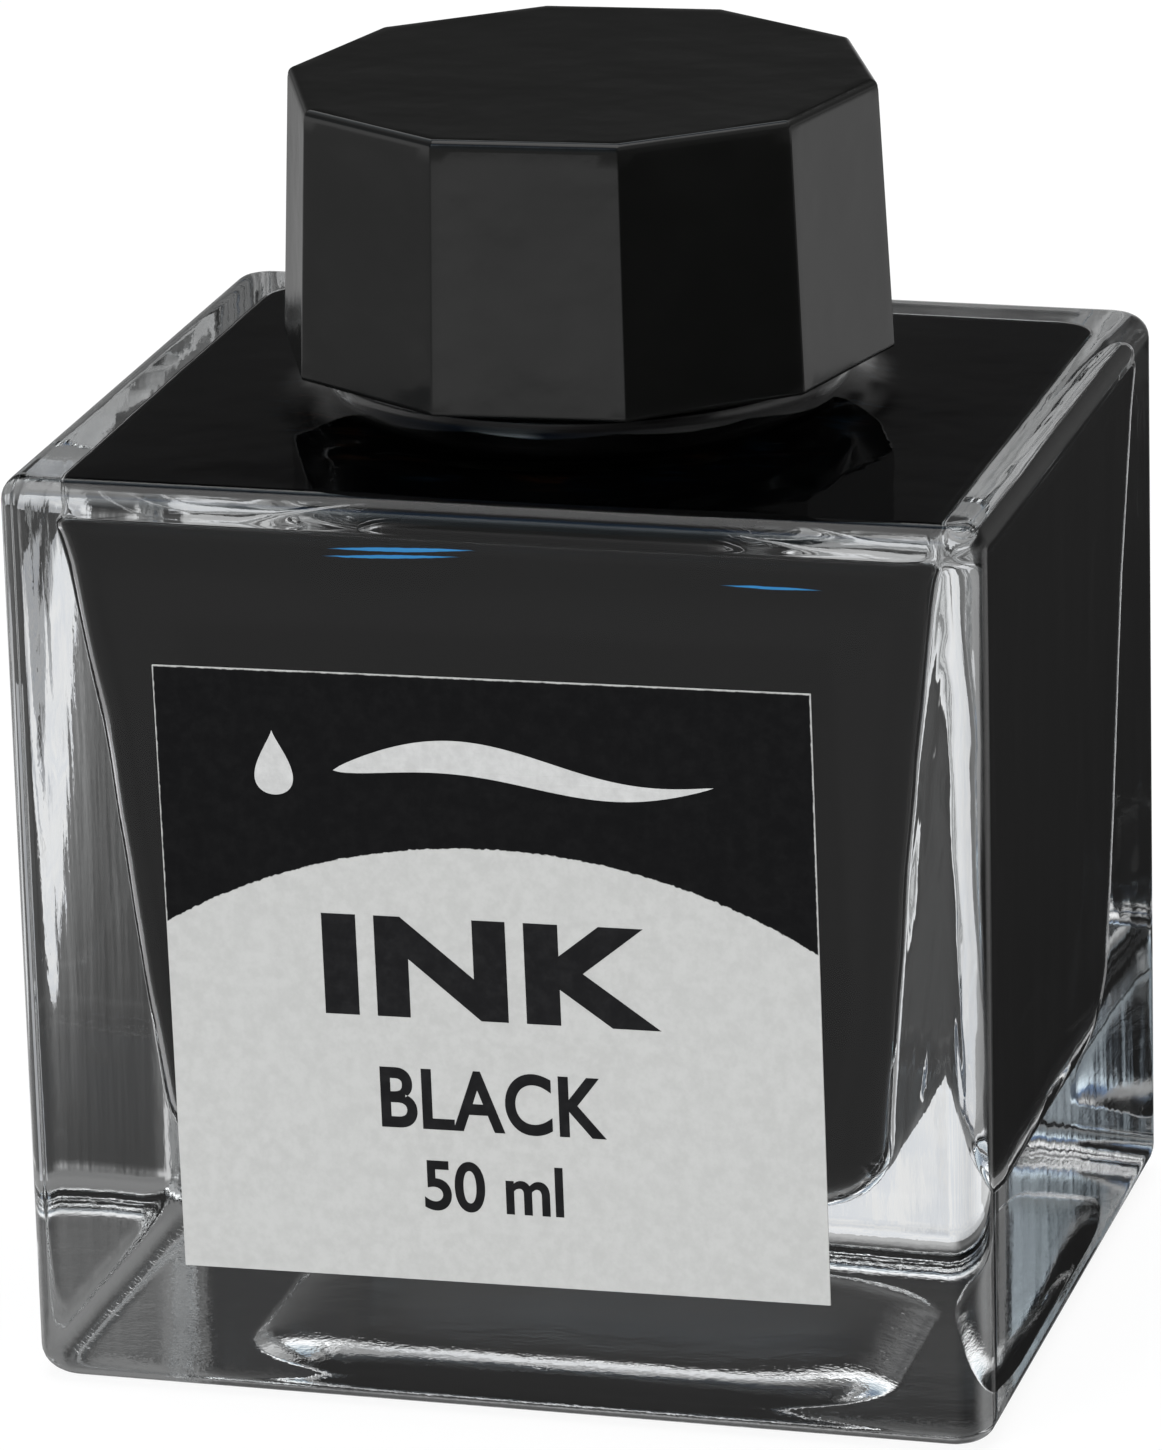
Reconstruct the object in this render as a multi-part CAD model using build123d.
from build123d import *
import os

# Square glass ink bottle with a ten-sided screw cap, in millimetres.
# Frame: Z up, the bottle stands on Z = 0 with its axis on Z, the label faces -Y.

os.makedirs("parts", exist_ok=True)

# ---- glass body, outside
BODY_W = 52.0  # across, X
BODY_D = 43.4  # front to back, Y
BODY_H = 49.8  # floor to the flat shoulder
CORNER_R = 1.8  # upright edges
SHOULDER_R = 1.1  # edges round the shoulder
FOOT_R = 1.7  # edges round the foot

# shallow hollow under the foot, which leaves a rim to stand on
PUNT_W, PUNT_D, PUNT_CORNER = 39.0, 30.4, 8.0
PUNT_DEEP = 0.9
PUNT_DRAFT = 45.0

# ---- glass body, inside: walls thicken towards a heavy base
WELL_LEVELS = ((10.4, 6.3), (29.0, 4.85), (47.6, 2.5))  # height, wall thickness there
WELL_CORNER = 3.0
WELL_FLOOR_R = 2.8
WELL_ROOF_R = 1.3
INK_LEVEL = 53.0  # the fill stands a little way up the neck
INK_GAP = 0.02

# ---- neck
COLLAR_R = 13.8  # smooth band between the shoulder and the cap
COLLAR_TOP = 52.1
COVE_R = 17.0  # where the cove below the collar runs out on the shoulder
NECK_R = 12.7  # wall between the threads
NECK_TOP = 64.4  # sealing lip
LIP_R = 0.6
BORE_R = 10.4
BORE_ROOT_R = 1.5

# ---- thread, right-handed, six turns to the inch
LEAD = 25.4 / 6
THREAD_TURNS = 1.35
THREAD_BASE, THREAD_CREST = 2.2, 1.0  # ridge widths along Z
NECK_CREST_R = 13.65
NECK_THREAD_Z = 56.3  # middle of the ridge at its lower end
NECK_THREAD_FROM = 20.0  # its angle there, degrees

# ---- cap: a ten-sided frustum, a little wider at its mouth
CAP_SIDES = 10
CAP_R_MOUTH, CAP_R_TOP = 16.42, 15.73  # axis to corner
CAP_MOUTH, CAP_TOP = 52.7, 67.1
CAP_TURN = 4.0  # first corner, degrees from +X
CAP_EDGE_R = 0.3  # top rim and upright corners
CAP_BORE_R = 13.9
CAP_ROOF = 65.6  # underside of the cap's top
CAP_CREST_R = 12.95
CAP_UNDER = 1.7  # how far its ridge runs below the neck's when closed
CAP_MOUTH_BEVEL = 0.35

# ---- liner disc between the lip and the cap
LINER_R = 13.6
LINER_BOTTOM, LINER_TOP = 64.42, 65.58
LINER_EDGE = 0.2

# ---- paper label on the front face, a touch off square
LABEL_W, LABEL_H, LABEL_T = 34.9, 33.1, 0.12
LABEL_Z = 24.1
LABEL_TILT = 0.8


def rounded_plate(width, depth, corner, z):
    return Plane.XY.offset(z) * RectangleRounded(width, depth, corner)


def well(gap):
    """The space inside the body, drawn `gap` inside the glass."""
    sections = [
        rounded_plate(
            BODY_W - 2 * (wall + gap),
            BODY_D - 2 * (wall + gap),
            WELL_CORNER,
            z + {WELL_LEVELS[0][0]: gap, WELL_LEVELS[-1][0]: -gap}.get(z, 0),
        )
        for z, wall in WELL_LEVELS
    ]
    space = loft(sections)
    floor = space.faces().sort_by(Axis.Z)[0]
    space = fillet(floor.edges(), WELL_FLOOR_R)
    roof = space.faces().sort_by(Axis.Z)[-1]
    return fillet(roof.edges(), WELL_ROOF_R)


def bore(gap, top):
    """The space inside the neck up to height `top`, with its flare at the shoulder's underside."""
    roof = WELL_LEVELS[-1][0] - gap
    wide, narrow = BORE_R + BORE_ROOT_R - gap, BORE_R - gap
    with BuildPart() as turned:
        with BuildSketch(Plane.XZ):
            with BuildLine():
                Polyline((0, top), (0, roof - 0.5), (wide, roof - 0.5), (wide, roof))
                RadiusArc((wide, roof), (narrow, roof + BORE_ROOT_R), -BORE_ROOT_R)
                Polyline((narrow, roof + BORE_ROOT_R), (narrow, top), (0, top))
            make_face()
        revolve(axis=Axis.Z)
    return turned.part


def ridge(root_r, crest_r, start_z, start_deg, turns):
    """One helical thread ridge; its root is sunk a little into the wall it stands on."""
    sink = 0.15 if crest_r > root_r else -0.15
    path = Helix(pitch=LEAD, height=LEAD * turns, radius=root_r)
    base, crest = THREAD_BASE / 2, THREAD_CREST / 2
    slope = (base - crest) / (crest_r - root_r)
    wide = base + slope * sink
    with BuildSketch(Plane(origin=(root_r, 0, 0), x_dir=(1, 0, 0), z_dir=(0, -1, 0))) as profile:
        Polygon(
            (-sink, -wide),
            (crest_r - root_r, -crest),
            (crest_r - root_r, crest),
            (-sink, wide),
            align=None,
        )
    turned = sweep(profile.sketch, path=path, is_frenet=True)
    return Pos(0, 0, start_z) * Rot(0, 0, start_deg) * turned


# ---- glass bottle
body = extrude(rounded_plate(BODY_W, BODY_D, CORNER_R, 0), BODY_H)
body = fillet(body.faces().sort_by(Axis.Z)[-1].edges(), SHOULDER_R)
body = fillet(body.faces().sort_by(Axis.Z)[0].edges(), FOOT_R)

with BuildPart() as neck_part:
    with BuildSketch(Plane.XZ):
        with BuildLine():
            cove = Spline(
                (COVE_R, BODY_H),
                (COLLAR_R, COLLAR_TOP - 0.2),
                tangents=[(-1, 0), (0, 1)],
            )
            Polyline(
                (COLLAR_R, COLLAR_TOP - 0.2),
                (COLLAR_R - 0.2, COLLAR_TOP),
                (NECK_R, COLLAR_TOP + 0.2),
                (NECK_R, NECK_TOP - LIP_R),
            )
            RadiusArc((NECK_R, NECK_TOP - LIP_R), (NECK_R - LIP_R, NECK_TOP), -LIP_R)
            Line((NECK_R - LIP_R, NECK_TOP), (BORE_R + LIP_R, NECK_TOP))
            RadiusArc((BORE_R + LIP_R, NECK_TOP), (BORE_R, NECK_TOP - LIP_R), -LIP_R)
            Polyline(
                (BORE_R, NECK_TOP - LIP_R),
                (BORE_R, BODY_H - 1.0),
                (COVE_R, BODY_H - 1.0),
                (COVE_R, BODY_H),
            )
        make_face()
    revolve(axis=Axis.Z)
neck = neck_part.part

neck_thread = ridge(NECK_R, NECK_CREST_R, NECK_THREAD_Z, NECK_THREAD_FROM, THREAD_TURNS)

punt = extrude(
    rounded_plate(PUNT_W, PUNT_D, PUNT_CORNER, 0), PUNT_DEEP, taper=PUNT_DRAFT
)

glass_bottle = body + neck + neck_thread - well(0) - bore(0, NECK_TOP + 1) - punt

# ---- ink
ink = well(INK_GAP) + bore(INK_GAP, INK_LEVEL)

# ---- label
front_label = (
    Pos(0, -BODY_D / 2 - LABEL_T / 2, LABEL_Z)
    * Rot(0, -LABEL_TILT, 0)
    * Box(LABEL_W, LABEL_T, LABEL_H)
)

# ---- cap
outline = [
    Plane.XY.offset(z) * RegularPolygon(r, CAP_SIDES, rotation=CAP_TURN)
    for z, r in ((CAP_MOUTH, CAP_R_MOUTH), (CAP_TOP, CAP_R_TOP))
]
cap = loft(outline)
softened = [e for e in cap.edges() if e.center().Z > (CAP_MOUTH + CAP_TOP) / 2 - 1]
cap = fillet(softened, CAP_EDGE_R)
hollow = Pos(0, 0, CAP_MOUTH) * extrude(Circle(CAP_BORE_R), CAP_ROOF - CAP_MOUTH)
hollow = fillet(hollow.faces().sort_by(Axis.Z)[-1].edges(), 0.25)
cap -= hollow
mouth = Pos(0, 0, CAP_MOUTH) * extrude(
    Circle(CAP_BORE_R + CAP_MOUTH_BEVEL), CAP_MOUTH_BEVEL, taper=45
)
cap -= mouth
cap += ridge(
    CAP_BORE_R, CAP_CREST_R, NECK_THREAD_Z - CAP_UNDER, NECK_THREAD_FROM, THREAD_TURNS
)

# ---- liner
cap_liner = Pos(0, 0, LINER_BOTTOM) * extrude(Circle(LINER_R), LINER_TOP - LINER_BOTTOM)
cap_liner = chamfer(cap_liner.edges().filter_by(GeomType.CIRCLE), LINER_EDGE)

for name, shape in {
    "glass_bottle": glass_bottle,
    "ink": ink,
    "front_label": front_label,
    "cap": cap,
    "cap_liner": cap_liner,
}.items():
    export_step(shape, f"parts/{name}.step")
